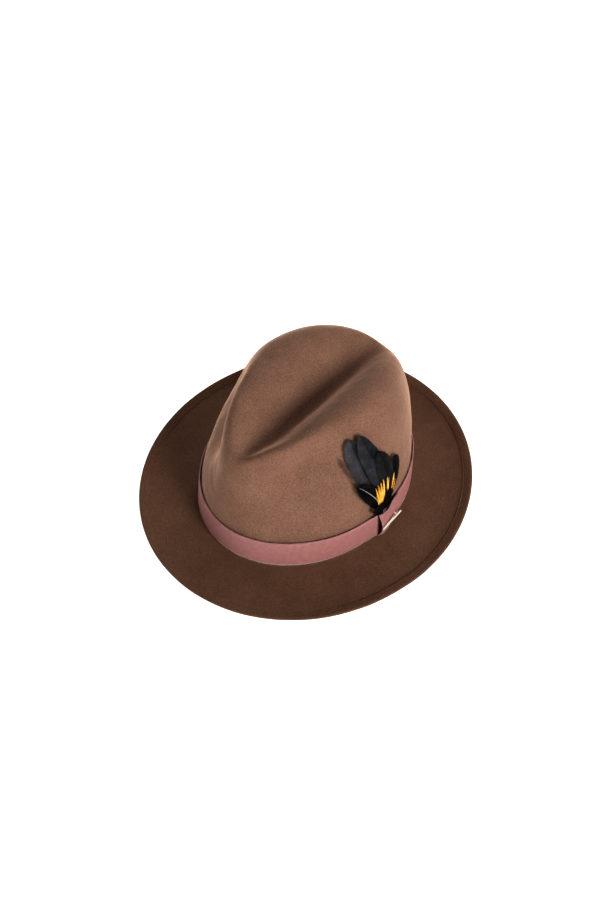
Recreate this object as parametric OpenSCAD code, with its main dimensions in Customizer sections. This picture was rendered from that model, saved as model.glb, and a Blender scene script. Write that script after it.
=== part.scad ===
// Felt fedora with a centre crease, side dents, a grosgrain band, a bar badge and a feather spray.
// Front is -Y, the wearer's left is +X, up is +Z. The hat stands on the ring where crown and brim meet.

/* [Head size] */
// Half width of the felt at the break, where crown meets brim
head_half_width = 86; // [78:0.5:92]
// Half length of the felt at the break
head_half_length = 103; // [94:0.5:110]

/* [Crown] */
// Height of the crown before it is creased
crown_height = 131; // [124:1:136]
// Share of the width lost between break and top
side_taper = 0.145; // [0.10:0.005:0.18]
// Share of the length lost at the front
front_taper = 0.16; // [0.12:0.01:0.20]
// Share of the length lost at the back
back_taper = 0.03; // [0:0.01:0.08]
// Squareness of the shoulder, plan part
shoulder_plan = 0.39; // [0.35:0.01:0.45]
// Squareness of the shoulder, height part
shoulder_height = 0.56; // [0.50:0.01:0.62]

/* [Centre crease] */
// Height of the crease floor above the break, at its lowest place
crease_floor = 90; // [86:1:94]
// Place of that lowest point along the hat
crease_low_y = -38; // [-45:1:-30]
// How fast the floor rises towards the front
crease_rise_front = 0.005; // [0.004:0.001:0.008]
// How fast the floor rises towards the back
crease_rise_back = 0.0012; // [0.0008:0.0001:0.0016]
// Half width of the crease where it opens, behind its front point
crease_width_front = 25; // [22:1:28]
// Half width of the crease at the back
crease_width_back = 18; // [15:1:22]

/* [Side dents] */
// Depth of each side dent
dent_depth = 25; // [18:1:26]
// Place of the dents along the hat
dent_y = -55; // [-60:1:-48]
// Height of the dents above the break, at the front of the crown
dent_height = 66; // [60:0.5:70]
// Spread of a dent up and down
dent_spread = 30; // [26:0.5:34]

/* [Brim] */
// Brim width at the sides
brim_side = 55; // [45:1:62]
// Brim width at the front
brim_front = 48.8; // [42:0.1:56]
// Brim width at the back
brim_back = 47.9; // [42:0.1:56]
// Rise of the brim edge at the back
brim_rise_back = 13; // [6:0.5:18]
// Rise of the brim edge at the sides
brim_rise_side = 4.6; // [2:0.2:8]
// Rise of the brim edge at the front
brim_rise_front = 3.7; // [0.5:0.1:5]
// Height of the small upturned lip round the edge
brim_lip = 3; // [1:0.5:4]
// Felt thickness
felt_thickness = 2.2; // [1.8:0.1:2.6]

/* [Band and badge] */
// Height of the grosgrain band
band_height = 25; // [20:1:30]
// Thickness of the grosgrain
band_thickness = 0.7; // [0.5:0.1:1]
// Length of the keeper that covers the band's join
keeper_length = 29; // [24:1:34]
// Length of the badge bar
badge_length = 26; // [20:1:30]
// Height of the badge bar
badge_height = 2.0; // [1.6:0.1:4.5]

/* [Inside] */
// Height of the sweatband
sweatband_height = 34; // [28:1:38]
// Thickness of the sweatband
sweatband_thickness = 1.1; // [0.8:0.1:1.4]
// Height of the lining dome above the break
lining_height = 68; // [62:1:72]

/* [Feathers] */
// Height of the long feather's tip above the break
feather_height = 109.5; // [90:1:112]

/* [Hidden] */

around = 72;                    // points round the hat
crown_rows = 22;                // rows from break to apex
fillet_rows = 3;                // rows in the small round of the break
brim_rows = 9;                  // rows from break to brim edge
fillet = 2.5;                   // radius of the round at the break
base_z = felt_thickness;        // height of the break's upper face above the ground
rest_band = 0.2;                // underside lower than this is pressed flat on the ground
dent_front_length = 28;         // reach of a dent towards the front
dent_back_length = 45;          // reach of a dent towards the back
dent_slope = 0.5;               // rise of the dent's centre towards the back
dent_fade = 22;                 // half width of the undented strip along the middle
crease_side = 4;                // place of the crease's bottom to the left of the middle
crease_soft = 10;               // rounding of the crease's upper edge
crease_power = 2.2;             // steepness of the crease's sides
crease_tip = 0.3;               // share of the crease's width left at its front point
crease_tip_y = -98;             // place of the front point along the hat
crease_open = 60;               // length over which the crease opens to its full width
lip_start = 0.84;               // share of the brim width where the lip starts

felt_brown = [0.42, 0.29, 0.22];
band_rose = [0.70, 0.42, 0.40];
feather_dark = [0.15, 0.15, 0.17];

// ---- plain helpers ----
function smooth(a, b, x) = let (t = max(0, min(1, (x - a) / (b - a)))) t * t * (3 - 2 * t);
function tanh(x) = 1 - 2 / (exp(2 * x) + 1);
function bell(x) = exp(-x * x);
function unit(v) = v / norm(v);
function bezier(a, c, b, t) = a * (1 - t) * (1 - t) + 2 * c * t * (1 - t) + b * t * t;

// ---- crown: a rounded oval block, then dented, then creased ----
function block(around_deg, up_deg, grow = 0, height = crown_height) =
    let (c = cos(around_deg), s = sin(around_deg))
    let (h = pow(sin(up_deg), shoulder_height), r = pow(cos(up_deg), shoulder_plan))
    let (along = 1 - (s < 0 ? front_taper : back_taper) * h)
    [
        (head_half_width + grow) * c * r * (1 - side_taper * h),
        (head_half_length + grow) * s * r * along,
        height * h
    ];

function dent_amount(x, y, z) =
    let (centre = dent_height + dent_slope * (y + 90))
    let (reach = y < dent_y ? dent_front_length : dent_back_length)
    dent_depth * bell((y - dent_y) / reach) * bell((z - centre) / dent_spread)
        * tanh(x * x / (dent_fade * dent_fade));

function dented(p) =
    let (d = dent_amount(p.x, p.y, p.z), inward = [p.x, 0.55 * (p.y + 30)])
    let (n = inward / (norm(inward) + 0.000001))
    [p.x - d * n.x, p.y - d * n.y, p.z];

function creased(p) =
    let (from_low = p.y - crease_low_y)
    let (rise = from_low > 0 ? crease_rise_back : crease_rise_front)
    let (over = p.z - crease_floor - rise * from_low * from_low)
    let (soft = (over + sqrt(over * over + crease_soft * crease_soft)) / 2)
    let (back = max(0, min(1, (p.y + 80) / 160)))
    let (opened = smooth(crease_tip_y, crease_tip_y + crease_open, p.y))
    let (half = (crease_tip + (1 - crease_tip) * opened) * (crease_width_front
        + (crease_width_back - crease_width_front) * pow(back, 0.8)))
    let (depth = over > -30 ? soft * smooth(45, 70, p.z) : 0)
    [p.x, p.y, p.z - depth / (1 + pow(abs(p.x - crease_side) / half, crease_power))];

// Rows are spaced evenly along the outline, from the break (0) to the apex (1)
function up_angle(q) = 90 * pow(q, 1.75) / (pow(q, 1.75) + pow(1 - q, 2.5));
function crown_point(around_deg, q) = creased(dented(block(around_deg, up_angle(q))));

// ---- brim ----
function brim_rise(s, u) =
    let (back = pow(max(0, s), 1.3), front = pow(max(0, -s), 1.5))
    let (edge = brim_rise_side + (brim_rise_back - brim_rise_side) * back
        + (brim_rise_front - brim_rise_side) * front)
    edge * u * u + max(0, 1 - 1.2 * front) * brim_lip * smooth(lip_start, 1, u);

function brim_point(around_deg, u) =
    let (c = cos(around_deg), s = sin(around_deg))
    [
        head_half_width * c + brim_side * c * u,
        head_half_length * s + (s < 0 ? brim_front : brim_back) * s * u,
        brim_rise(s, u)
    ];

// ---- the felt's upper face as rows of points, apex first ----
function round_steps(n) = [for (j = [0 : n - 1]) 360 * j / n];
fillet_q = pow(fillet / crown_height, 1 / shoulder_height / 1.75) * 0.97;
function felt_rows(n) = concat(
    [for (i = [1 : crown_rows]) let (q = 1 - (1 - fillet_q) * i / crown_rows)
        [for (a = round_steps(n)) crown_point(a, q)]],
    [for (i = [1 : fillet_rows]) [for (a = round_steps(n))
        bezier(crown_point(a, fillet_q), brim_point(a, 0), brim_point(a, fillet / brim_side),
            i / (fillet_rows + 1))]],
    [for (i = [0 : brim_rows]) let (u0 = fillet / brim_side)
        [for (a = round_steps(n)) brim_point(a, u0 + (1 - u0) * i / brim_rows)]]
);

// Unit normals of a grid of closed rows, pointing out of the crown and up from the brim
function normals(rows) =
    let (m = len(rows), n = len(rows[0]))
    [for (i = [0 : m - 1]) [for (j = [0 : n - 1])
        let (down = rows[min(m - 1, i + 1)][j] - rows[max(0, i - 1)][j])
        let (side = rows[i][(j + 1) % n] - rows[i][(j + n - 1) % n])
        unit(cross(down, side))]];

function offset_rows(rows, d) =
    let (face = normals(rows))
    [for (i = [0 : len(rows) - 1]) [for (j = [0 : len(rows[0]) - 1]) rows[i][j] + d * face[i][j]]];

function lifted(rows) = [for (r = rows) [for (p = r) p + [0, 0, base_z]]];
function pressed(rows) =
    [for (r = rows) [for (p = r) [p.x, p.y, p.z < rest_band ? 0 : p.z]]];
function reversed(list) = [for (i = [len(list) - 1 : -1 : 0]) list[i]];

// ---- closed skins over rings of points ----
// Faces between neighbouring rings; a ring may be joined back to the first one
function ring_faces(m, n, closed) = [
    for (i = [0 : m - (closed ? 1 : 2)], j = [0 : n - 1])
        let (a = i * n + j, b = i * n + (j + 1) % n)
        let (k = (i + 1) % m, c = k * n + j, d = k * n + (j + 1) % n)
        each [[a, b, d], [a, d, c]]
];
function flat_list(rows) = [for (r = rows) each r];

// A skin that runs from one pole, over all rings, to the other pole
module pole_skin(first_pole, rings, last_pole) {
    m = len(rings);
    n = len(rings[0]);
    points = concat(flat_list(rings), [first_pole, last_pole]);
    caps = [for (j = [0 : n - 1]) each [
        [m * n, (j + 1) % n, j],
        [m * n + 1, (m - 1) * n + j, (m - 1) * n + (j + 1) % n]
    ]];
    polyhedron(points = points, faces = concat(ring_faces(m, n, false), caps), convexity = 8);
}

// A skin whose last ring joins the first, as on a hoop
module hoop_skin(rings) {
    faces = ring_faces(len(rings), len(rings[0]), true);
    polyhedron(points = flat_list(rings), faces = faces, convexity = 8);
}

// A thin plate: a front grid of points and a back grid of the same size
module plate_skin(front, back) {
    m = len(front);
    n = len(front[0]);
    rings = [for (i = [0 : m - 1]) concat(front[i], reversed(back[i]))];
    last = (m - 1) * 2 * n;
    ends = [for (j = [0 : n - 2]) each [
        [j, 2 * n - 1 - j, j + 1], [j + 1, 2 * n - 1 - j, 2 * n - 2 - j],
        [last + j, last + j + 1, last + 2 * n - 1 - j],
        [last + j + 1, last + 2 * n - 2 - j, last + 2 * n - 1 - j]
    ]];
    polyhedron(points = flat_list(rings), faces = concat(ring_faces(m, 2 * n, false), ends),
        convexity = 6);
}

// ---- the felt ----
apex = creased(block(0, 90));
module felt_body() {
    top = felt_rows(around);
    under = offset_rows(top, -felt_thickness);
    rings = concat(lifted(top), pressed(lifted(reversed(under))));
    apex_top = apex + [0, 0, base_z];
    color(felt_brown)
        pole_skin(apex_top, rings, apex_top - [0, 0, felt_thickness]);
}

// ---- strips that follow the crown's wall ----
// A point of the wall at a height above the break, moved outwards by off
function wall_up(z) = asin(pow(max(z, 0) / crown_height, 1 / shoulder_height));
function wall_point(around_deg, z, off) =
    let (p = dented(block(around_deg, wall_up(z))))
    let (out = [p.x / pow(head_half_width, 2), p.y / pow(head_half_length, 2)])
    let (n = out / norm(out))
    [p.x + off * n.x, p.y + off * n.y, z + base_z];

// One face of a strip: rows of points between two heights, at an offset that may vary
function strip_face(low, high, rows, angles, off, pocketed) = [
    for (i = [0 : rows]) [for (a = angles)
        wall_point(a, low + (high - low) * i / rows, off + (pocketed ? pocket(a) : 0))]
];
module strip_hoop(low, high, rows, angles, inner, thickness, pocketed) {
    inside = strip_face(low, high, rows, angles, inner, pocketed);
    outside = strip_face(low, high, rows, angles, inner + thickness, pocketed);
    hoop_skin(concat(inside, reversed(outside)));
}
module strip_plate(low, high, rows, angles, inner, thickness, pocketed) {
    inside = strip_face(low, high, rows, angles, inner, pocketed);
    outside = strip_face(low, high, rows, angles, inner + thickness, pocketed);
    plate_skin(inside, outside);
}

// ---- band, keeper and badge ----
clearance = 0.3;                // gap between neighbouring pieces
band_offset = 0.6;              // gap between felt and band
band_low = 1.6;                 // height of the band's lower edge above the break
band_rows = 3;
pocket_depth = 2.8;             // how far the band is pushed out over the feather stem
pocket_reach = 10;              // reach of that push along the hat
keeper_start = -7;              // front end of the keeper along the hat
keeper_extra = 0.3;             // how far the keeper stands past each edge of the band

// Push of the stem, on the wearer's left only
function pocket(a) = cos(a) < 0 ? 0
    : pocket_depth * bell(head_half_length * sin(a) / pocket_reach);
fine_half = 24;                 // the band is finer within this angle of the stem
band_angles = concat([for (a = [-fine_half : 2 : fine_half]) a],
    [for (a = [fine_half + 6 : 6 : 354 - fine_half]) a]);

module ribbon_band() {
    color(band_rose)
        strip_hoop(band_low, band_low + band_height, band_rows, band_angles,
            band_offset, band_thickness, true);
}

keeper_inner = band_offset + band_thickness + clearance;
function angle_at(y) = asin(y / head_half_length);
keeper_steps = 12;
keeper_angles = [for (i = [0 : keeper_steps])
    angle_at(keeper_start + keeper_length * i / keeper_steps)];
module band_keeper() {
    color(band_rose)
        strip_plate(band_low - keeper_extra, band_low + band_height + keeper_extra, band_rows,
            keeper_angles, keeper_inner, band_thickness, true);
}

badge_thickness = 1.0;
badge_y = 7.5;                  // middle of the badge along the hat
badge_z = 9.5;                  // middle of the bar above the break
badge_gap = 0.5;                // air between the badge and the fullest place of the keeper
badge_step_length = 11;         // raised middle of the bar
badge_step_height = 1.2;
badge_step_shift = -3;
badge_round = 0.8;
pin_radius = 0.6;
pin_spacing = 16;
pin_reach_front = 1.1;
pin_reach_back = 3.4;
// The badge stands in a frame of its own: X along the hat, Y up, Z away from the crown
badge_turn = angle_at(badge_y) * head_half_width / head_half_length;
badge_off = keeper_inner + band_thickness + pocket_depth + badge_gap;
module badge_frame() {
    at = wall_point(angle_at(badge_y), badge_z, badge_off);
    translate(at) rotate([90, 0, 90 + badge_turn]) children();
}
module badge_bar() {
    color([0.83, 0.69, 0.40]) badge_frame() linear_extrude(badge_thickness) {
        translate([-badge_length / 2, -badge_height / 2])
            square([badge_length, badge_height]);
        translate([badge_step_shift - badge_step_length / 2, -badge_height / 2])
            square([badge_step_length, badge_height + badge_step_height]);
    }
}
module badge_pins() {
    color([0.70, 0.58, 0.35]) badge_frame()
        for (pin = [[-pin_spacing / 2, pin_reach_front], [pin_spacing / 2, pin_reach_back]])
            translate([pin[0], 0, -pin[1]]) cylinder(h = pin[1], r = pin_radius, $fn = 24);
}

// ---- inside of the hat ----
lining_gap = 1.1;
lining_thickness = 0.5;
lining_low = 5;
lining_seam = 38;               // height where the lining's side meets its tip
lining_angles = round_steps(around);
lining_outer = -(felt_thickness + lining_gap);
sweatband_inner = lining_outer - lining_thickness - 0.8 - sweatband_thickness;
sweatband_low = -0.1;
sweatband_angles = round_steps(60);
reed_radius = 0.7;
reed_z = -1.2;
satin = [0.34, 0.24, 0.20];
hide = [0.36, 0.23, 0.15];

module sweatband() {
    color(hide)
        strip_hoop(sweatband_low, sweatband_low + sweatband_height, 3, sweatband_angles,
            sweatband_inner, sweatband_thickness, false);
}
module sweatband_reed() {
    centre = sweatband_inner + sweatband_thickness / 2;
    turns = [for (b = [0 : 45 : 315]) b];
    color([0.80, 0.78, 0.72])
        hoop_skin([for (b = turns) [for (a = sweatband_angles)
            wall_point(a, reed_z + reed_radius * sin(b), centre - reed_radius * cos(b))]]);
}

bow_half_width = 9;
bow_low = 8;
bow_high = 15;
bow_thickness = 0.9;
module sweatband_bow() {
    inner = sweatband_inner - clearance - bow_thickness;
    half = asin(bow_half_width / head_half_width);
    // wings wide, knot narrow
    function pinch(f) = 0.35 + 0.65 * abs(2 * f - 1);
    steps = [for (f = [0 : 0.125 : 1]) f];
    function face(off) = [for (g = [-1, 1]) [for (f = steps)
        wall_point(90 + half - 2 * half * f,
            (bow_low + bow_high) / 2 + g * (bow_high - bow_low) / 2 * pinch(f), off)]];
    color(hide) mirror([1, 0, 0]) plate_skin(face(inner), face(inner + bow_thickness));
}

tab_angles = [for (a = [112 : 2 : 120]) a];
module size_tab() {
    inner = lining_outer - lining_thickness - 0.55;
    color([0.86, 0.83, 0.76])
        strip_plate(sweatband_height - 9, sweatband_height + 3.5, 2, tab_angles, inner, 0.3, false);
}

module lining_side() {
    color(satin)
        strip_hoop(lining_low, lining_seam - 0.1, 4, lining_angles,
            lining_outer - lining_thickness, lining_thickness, false);
}
dome_rows = 7;
dome_round = 0.95;               // squareness of the dome's shoulder
function dome_point(a, up, off) =
    let (edge = block(a, wall_up(lining_seam), off), r = pow(cos(up), dome_round))
    let (top = lining_height + (off - lining_outer))
    dented([edge.x * r, edge.y * r,
        lining_seam + 0.1 + (top - lining_seam) * pow(sin(up), 0.8)]) + [0, 0, base_z];
module lining_tip() {
    ups = [for (i = [1 : dome_rows]) 90 * (1 - pow(i / dome_rows, 1.4))];
    function dome(off) = [for (up = ups) [for (a = lining_angles) dome_point(a, up, off)]];
    inner = lining_outer - lining_thickness;
    color(satin)
        pole_skin(dome_point(0, 90, lining_outer), concat(dome(lining_outer), reversed(dome(inner))),
            dome_point(0, 90, inner));
}

// ---- feather spray, on the wearer's left ----
// A point beside the crown, given by its place along the hat and its height above the break
function beside(y, z, off) =
    let (h = z / crown_height, r = pow(cos(wall_up(z)), shoulder_plan))
    let (s = y / (head_half_length * r * (1 - (y < 0 ? front_taper : back_taper) * h)))
    wall_point(asin(s), z, off);

binding_low = band_low + band_height + keeper_extra + clearance;
binding_high = binding_low + 5;
quill_z = binding_low + 1;      // where the quills start, inside the binding
layer_first = 1;
layer_step = 1.1;
layer_close = 0.5;              // share of the layer spacing kept at the binding
layers_open = 20;               // height over which the layers open
front_layer = 7.3;              // layer of the feather nearest the viewer
// Layers lie close together at the binding and spread out above it
function layer_off(layer, z) =
    let (opened = smooth(binding_high, binding_high + layers_open, z))
    layer_first + layer * layer_step * (layer_close + (1 - layer_close) * opened)
        + 1.5 * smooth(40, feather_height, z);

feather_rows = 12;
barb_rows = 6;
quill_half = 0.7;
quill_thickness = 0.6;
// Half width along a feather: quill, then vane, then a round tip
function vane(t, half) =
    max(quill_half, half * pow(max(0, sin(180 * pow(t, 1.5))), 0.5));

module feather(base_y, tip, bow, half, layer, rows = feather_rows) {
    base = [base_y, quill_z];
    function mid(t) = base + (tip - base) * t + bow * 4 * t * (1 - t);
    function along(t) = unit((tip - base) + bow * 4 * (1 - 2 * t));
    function face(sign) = [for (i = [0 : rows]) let (t = i / rows)
        let (m = mid(t), d = along(t), w = t == 1 ? quill_half : vane(t, half))
        [for (v = [-1 : 0.5 : 1])
            let (p = m + w * v * [d[1], -d[0]])
            beside(p[0], p[1], layer_off(layer, p[1])
                + sign * quill_thickness / 2 * (1 - 0.5 * v * v))]];
    plate_skin(face(-1), face(1));
}

// Arguments: place of the quill's base, tip as [along the hat, height], bow, half width, layer
module feather_wisp() {
    color([0.40, 0.33, 0.29]) feather(-5, [-24.5, 91], [-3, 0], 3, 0);
}
module feather_long_left() {
    color(feather_dark) feather(-3.4, [-14, feather_height - 3.5], [-3.5, 0], 7.5, 1);
}
module feather_back() {
    color([0.06, 0.05, 0.05]) feather(3.4, [16, 77], [3, -2], 9.5, 2);
}
module feather_long() {
    color(feather_dark) feather(-0.2, [-7.5, feather_height - 1], [0.5, 0], 8, 3);
}
module feather_long_right() {
    color(feather_dark) feather(1.4, [0.5, feather_height - 17], [2.5, 0], 8, 4);
}
module feather_lower() {
    color([0.08, 0.07, 0.07]) feather(-4.2, [-22.5, 71], [3, 1.5], 7.2, 4.8);
}
module feather_front_small() {
    color([0.05, 0.04, 0.04]) feather(0.5, [0.8, 57], [0, 0], 5.5, front_layer);
}

// Golden barbs: blades that fan out from one place
barb_starts = [-3, 2];          // where each tuft leaves the binding
barb_counts = [4, 2];
barb_tips = [[-10.8, 65], [1.2, 69]]; // first tip of each tuft
barb_fan = [[2.5, 1.5], [7.5, -3]];  // step from tip to tip
module gold_hackle() {
    color([0.84, 0.56, 0.15])
        for (k = [0 : len(barb_starts) - 1], i = [0 : barb_counts[k] - 1])
            feather(barb_starts[k] + 1.5 * (i - (barb_counts[k] - 1) / 2),
                barb_tips[k] + barb_fan[k] * i, [0, 0], 1, 6, barb_rows);
}

stem_half = 3;
stem_low = 7;
stem_inner = 0.6;
stem_thickness = 1.8;
module feather_stem() {
    angles = [for (y = [-stem_half : 1 : stem_half]) angle_at(y)];
    color([0.20, 0.16, 0.13])
        strip_plate(stem_low, binding_low, 3, angles, stem_inner, stem_thickness, false);
}
binding_front = -6.5;
binding_back = 6.5;
module feather_binding() {
    angles = [for (i = [0 : 6]) angle_at(binding_front + (binding_back - binding_front) * i / 6)];
    depth = layer_off(front_layer, binding_low) + quill_thickness - stem_inner;
    color([0.35, 0.10, 0.09])
        strip_plate(binding_low, binding_high, 2, angles, stem_inner, depth, false);
}

felt_body();
ribbon_band();
band_keeper();
badge_bar();
badge_pins();
sweatband();
sweatband_reed();
sweatband_bow();
size_tab();
lining_side();
lining_tip();
feather_stem();
feather_binding();
feather_long();
feather_long_left();
feather_long_right();
feather_back();
feather_lower();
feather_wisp();
gold_hackle();
feather_front_small();
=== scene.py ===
"""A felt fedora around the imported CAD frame: felt, grosgrain, feathers, badge, lining.

Front is -Y, the wearer's left is +X, up is +Z, in metres. The break, where crown and brim
meet, is the datum of the shape functions below. It lies BREAK_Z above the ground.
"""
import math

import bpy
import numpy as np
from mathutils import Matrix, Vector


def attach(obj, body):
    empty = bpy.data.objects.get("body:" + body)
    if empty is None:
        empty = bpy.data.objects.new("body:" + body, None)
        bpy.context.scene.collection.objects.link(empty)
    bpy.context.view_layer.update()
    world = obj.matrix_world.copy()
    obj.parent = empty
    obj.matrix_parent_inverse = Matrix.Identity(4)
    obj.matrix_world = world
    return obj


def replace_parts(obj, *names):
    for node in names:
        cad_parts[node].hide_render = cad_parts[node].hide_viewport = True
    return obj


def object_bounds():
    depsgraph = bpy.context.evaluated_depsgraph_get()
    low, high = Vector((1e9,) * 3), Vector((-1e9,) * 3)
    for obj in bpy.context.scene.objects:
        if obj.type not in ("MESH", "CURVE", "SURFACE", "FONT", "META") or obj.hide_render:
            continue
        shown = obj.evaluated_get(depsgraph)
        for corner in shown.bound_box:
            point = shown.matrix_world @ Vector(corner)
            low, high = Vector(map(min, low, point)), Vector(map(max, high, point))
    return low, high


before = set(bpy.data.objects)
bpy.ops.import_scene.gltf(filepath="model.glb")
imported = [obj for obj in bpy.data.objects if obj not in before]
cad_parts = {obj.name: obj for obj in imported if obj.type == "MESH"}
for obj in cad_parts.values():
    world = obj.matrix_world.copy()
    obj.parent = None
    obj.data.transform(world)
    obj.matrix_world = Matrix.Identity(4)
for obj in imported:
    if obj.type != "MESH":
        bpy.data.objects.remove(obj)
cad_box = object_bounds()

MM = 0.001

# ---- sizes, as in the CAD model
HEAD_HALF_WIDTH = 0.086
HEAD_HALF_LENGTH = 0.103
CROWN_HEIGHT = 0.131
SIDE_TAPER = 0.145
FRONT_TAPER = 0.16
BACK_TAPER = 0.03
SHOULDER_PLAN = 0.39
SHOULDER_HEIGHT = 0.56

CREASE_FLOOR = 0.090
CREASE_LOW_Y = -0.038
CREASE_RISE_FRONT = 5.0          # per metre: rise = this * distance squared
CREASE_RISE_BACK = 1.2
CREASE_WIDTH_FRONT = 0.025
CREASE_WIDTH_BACK = 0.018
CREASE_SIDE = 0.004
CREASE_SOFT = 0.010
CREASE_POWER = 2.2
CREASE_TIP = 0.3
CREASE_TIP_Y = -0.098
CREASE_OPEN = 0.060
CREASE_TAPER_Y = -0.080           # from here to the back the crease changes its width
CREASE_TAPER_LENGTH = 0.160
CREASE_TAPER_POWER = 0.8
CREASE_ENDS_BELOW = 0.030         # the crease fades out this far under its floor
CREASE_FADE_Z = (0.045, 0.070)

DENT_DEPTH = 0.025
DENT_Y = -0.055
DENT_HEIGHT = 0.066
DENT_SPREAD = 0.030
DENT_FRONT_LENGTH = 0.028
DENT_BACK_LENGTH = 0.045
DENT_SLOPE = 0.5
DENT_SLOPE_Y = -0.090             # where the dent's centre is DENT_HEIGHT high
DENT_FADE = 0.022
DENT_AIM_Y = -0.030               # the dents press towards this point of the middle line
DENT_AIM_FLAT = 0.55

BRIM_SIDE = 0.055
BRIM_FRONT = 0.0488
BRIM_BACK = 0.0479
BRIM_RISE_BACK = 0.013
BRIM_RISE_SIDE = 0.0046
BRIM_RISE_FRONT = 0.0037
BRIM_LIP = 0.003
BRIM_BACK_POWER = 1.3
BRIM_FRONT_POWER = 1.5
LIP_START = 0.84
LIP_FRONT_FADE = 1.2
FELT = 0.0022
FILLET = 0.0025

BAND_HEIGHT = 0.025
BAND_LOW = 0.0016
BAND_OFFSET = 0.0006
BAND_THICKNESS = 0.0007
CLEARANCE = 0.0003
POCKET_DEPTH = 0.0028
POCKET_REACH = 0.010
KEEPER_START = -0.007
KEEPER_LENGTH = 0.029
BREAK_Z = FELT                    # height of the break's upper face above the ground

ROWS_LOW, ROWS_TOP = 1.75, 2.5    # how the crown's rows crowd at the break and at the apex


# ---- shape of the hat
def smooth(a, b, x):
    t = np.clip((x - a) / (b - a), 0, 1)
    return t * t * (3 - 2 * t)


def bell(x):
    return np.exp(-x * x)


def unit(v):
    return v / np.linalg.norm(v, axis=-1, keepdims=True)


def circle(count):
    return np.linspace(0, 2 * math.pi, count, endpoint=False)


def block(theta, up, grow=0.0):
    """The crown before denting: a rounded oval block. Angles in radians."""
    c, s = np.cos(theta), np.sin(theta)
    h = np.sin(up) ** SHOULDER_HEIGHT
    r = np.maximum(np.cos(up), 0) ** SHOULDER_PLAN
    along = 1 - np.where(s < 0, FRONT_TAPER, BACK_TAPER) * h
    x = (HEAD_HALF_WIDTH + grow) * c * r * (1 - SIDE_TAPER * h)
    y = (HEAD_HALF_LENGTH + grow) * s * r * along
    return np.stack(np.broadcast_arrays(x, y, CROWN_HEIGHT * h), axis=-1)


def dented(p):
    """Pushes the crown in at both sides of the front."""
    x, y, z = p[..., 0], p[..., 1], p[..., 2]
    centre = DENT_HEIGHT + DENT_SLOPE * (y - DENT_SLOPE_Y)
    reach = np.where(y < DENT_Y, DENT_FRONT_LENGTH, DENT_BACK_LENGTH)
    depth = (DENT_DEPTH * bell((y - DENT_Y) / reach) * bell((z - centre) / DENT_SPREAD)
             * np.tanh((x / DENT_FADE) ** 2))
    nx, ny = x, DENT_AIM_FLAT * (y - DENT_AIM_Y)
    length = np.sqrt(nx * nx + ny * ny) + 1e-9
    return np.stack([x - depth * nx / length, y - depth * ny / length, z], axis=-1)


def creased(p):
    """Presses the centre crease into the top."""
    x, y, z = p[..., 0], p[..., 1], p[..., 2]
    from_low = y - CREASE_LOW_Y
    rise = np.where(from_low > 0, CREASE_RISE_BACK, CREASE_RISE_FRONT)
    over = z - CREASE_FLOOR - rise * from_low ** 2
    soft = (over + np.sqrt(over * over + CREASE_SOFT ** 2)) / 2
    back = np.clip((y - CREASE_TAPER_Y) / CREASE_TAPER_LENGTH, 0, 1) ** CREASE_TAPER_POWER
    half = CREASE_WIDTH_FRONT + (CREASE_WIDTH_BACK - CREASE_WIDTH_FRONT) * back
    opened = smooth(CREASE_TIP_Y, CREASE_TIP_Y + CREASE_OPEN, y)
    half = half * (CREASE_TIP + (1 - CREASE_TIP) * opened)
    depth = np.where(over > -CREASE_ENDS_BELOW, soft, 0) * smooth(*CREASE_FADE_Z, z)
    drop = depth / (1 + (np.abs(x - CREASE_SIDE) / half) ** CREASE_POWER)
    return np.stack([x, y, z - drop], axis=-1)


def up_angle(q):
    """Rows spaced evenly along the outline, from the break (0) to the apex (1)."""
    a, b = q ** ROWS_LOW, (1 - q) ** ROWS_TOP
    return math.pi / 2 * a / (a + b)


def crown(theta, q):
    return creased(dented(block(theta, up_angle(q))))


def brim(theta, u):
    """The brim's upper face, u from 0 at the break to 1 at the edge."""
    c, s = np.cos(theta), np.sin(theta)
    back, front = np.maximum(0, s) ** BRIM_BACK_POWER, np.maximum(0, -s) ** BRIM_FRONT_POWER
    edge = (BRIM_RISE_SIDE + (BRIM_RISE_BACK - BRIM_RISE_SIDE) * back
            + (BRIM_RISE_FRONT - BRIM_RISE_SIDE) * front)
    lip = np.maximum(0, 1 - LIP_FRONT_FADE * front) * BRIM_LIP * smooth(LIP_START, 1, u)
    x = HEAD_HALF_WIDTH * c + BRIM_SIDE * c * u
    y = HEAD_HALF_LENGTH * s + np.where(s < 0, BRIM_FRONT, BRIM_BACK) * s * u
    return np.stack([x, y, edge * u * u + lip], axis=-1)


def wall_up(z):
    """The angle at which the undented block is z high."""
    return np.arcsin((np.maximum(z, 0) / CROWN_HEIGHT) ** (1 / SHOULDER_HEIGHT))


def wall(theta, z, off):
    """A point of the crown's wall at height z above the break, moved outwards by off."""
    p = dented(block(theta, wall_up(z)))
    out = unit(p[..., :2] / [HEAD_HALF_WIDTH ** 2, HEAD_HALF_LENGTH ** 2])
    x = p[..., 0] + off * out[..., 0]
    y = p[..., 1] + off * out[..., 1]
    return np.stack([x, y, z + BREAK_Z + 0 * x], axis=-1)


def beside(y, z, off):
    """A point beside the crown on the wearer's left, by place along the hat and height."""
    h = z / CROWN_HEIGHT
    r = np.cos(wall_up(z)) ** SHOULDER_PLAN
    along = 1 - np.where(y < 0, FRONT_TAPER, BACK_TAPER) * h
    return wall(np.arcsin(y / (HEAD_HALF_LENGTH * r * along)), z, off)


def pocket(theta):
    """Push of the feather stem on the band, on the wearer's left only."""
    push = POCKET_DEPTH * bell(HEAD_HALF_LENGTH * np.sin(theta) / POCKET_REACH)
    return np.where(np.cos(theta) > 0, push, 0)


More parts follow.
